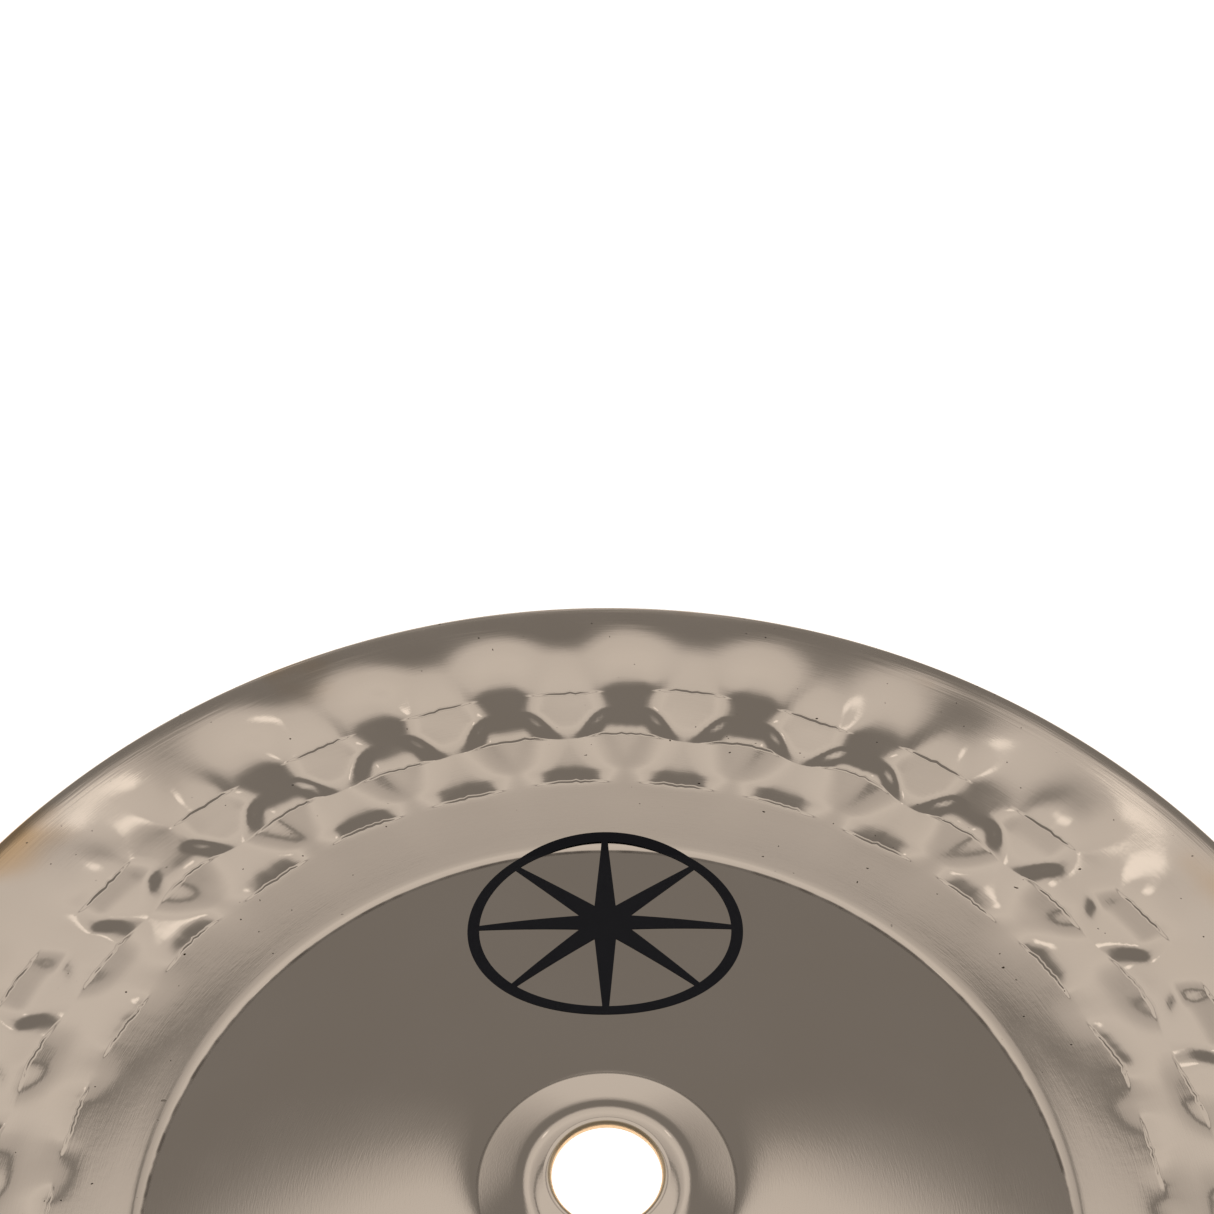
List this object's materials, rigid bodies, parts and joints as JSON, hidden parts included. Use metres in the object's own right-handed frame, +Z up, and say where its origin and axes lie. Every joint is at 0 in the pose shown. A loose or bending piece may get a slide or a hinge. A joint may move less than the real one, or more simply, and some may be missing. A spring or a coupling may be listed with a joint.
{
  "type": "crash cymbal",
  "caption": "Small round bronze crash cymbal with an oversized conical bell, a centre hole and staggered rows of hammer marks round the bow.",
  "frame": {"origin": "on the cymbal's axis, in the plane that the rim rests on", "axes": "+Z up along the cymbal's axis, out of the top of the bell; +Y from the axis towards the printed emblem"},
  "size_m": [0.203, 0.203, 0.0211],
  "materials": {
    "bronze": "polished",
    "black_ink": "matte"
  },
  "bodies": {
    "root": {"cymbal_plate": "bronze", "printed_emblem": "black_ink"}
  },
  "joints": []
}
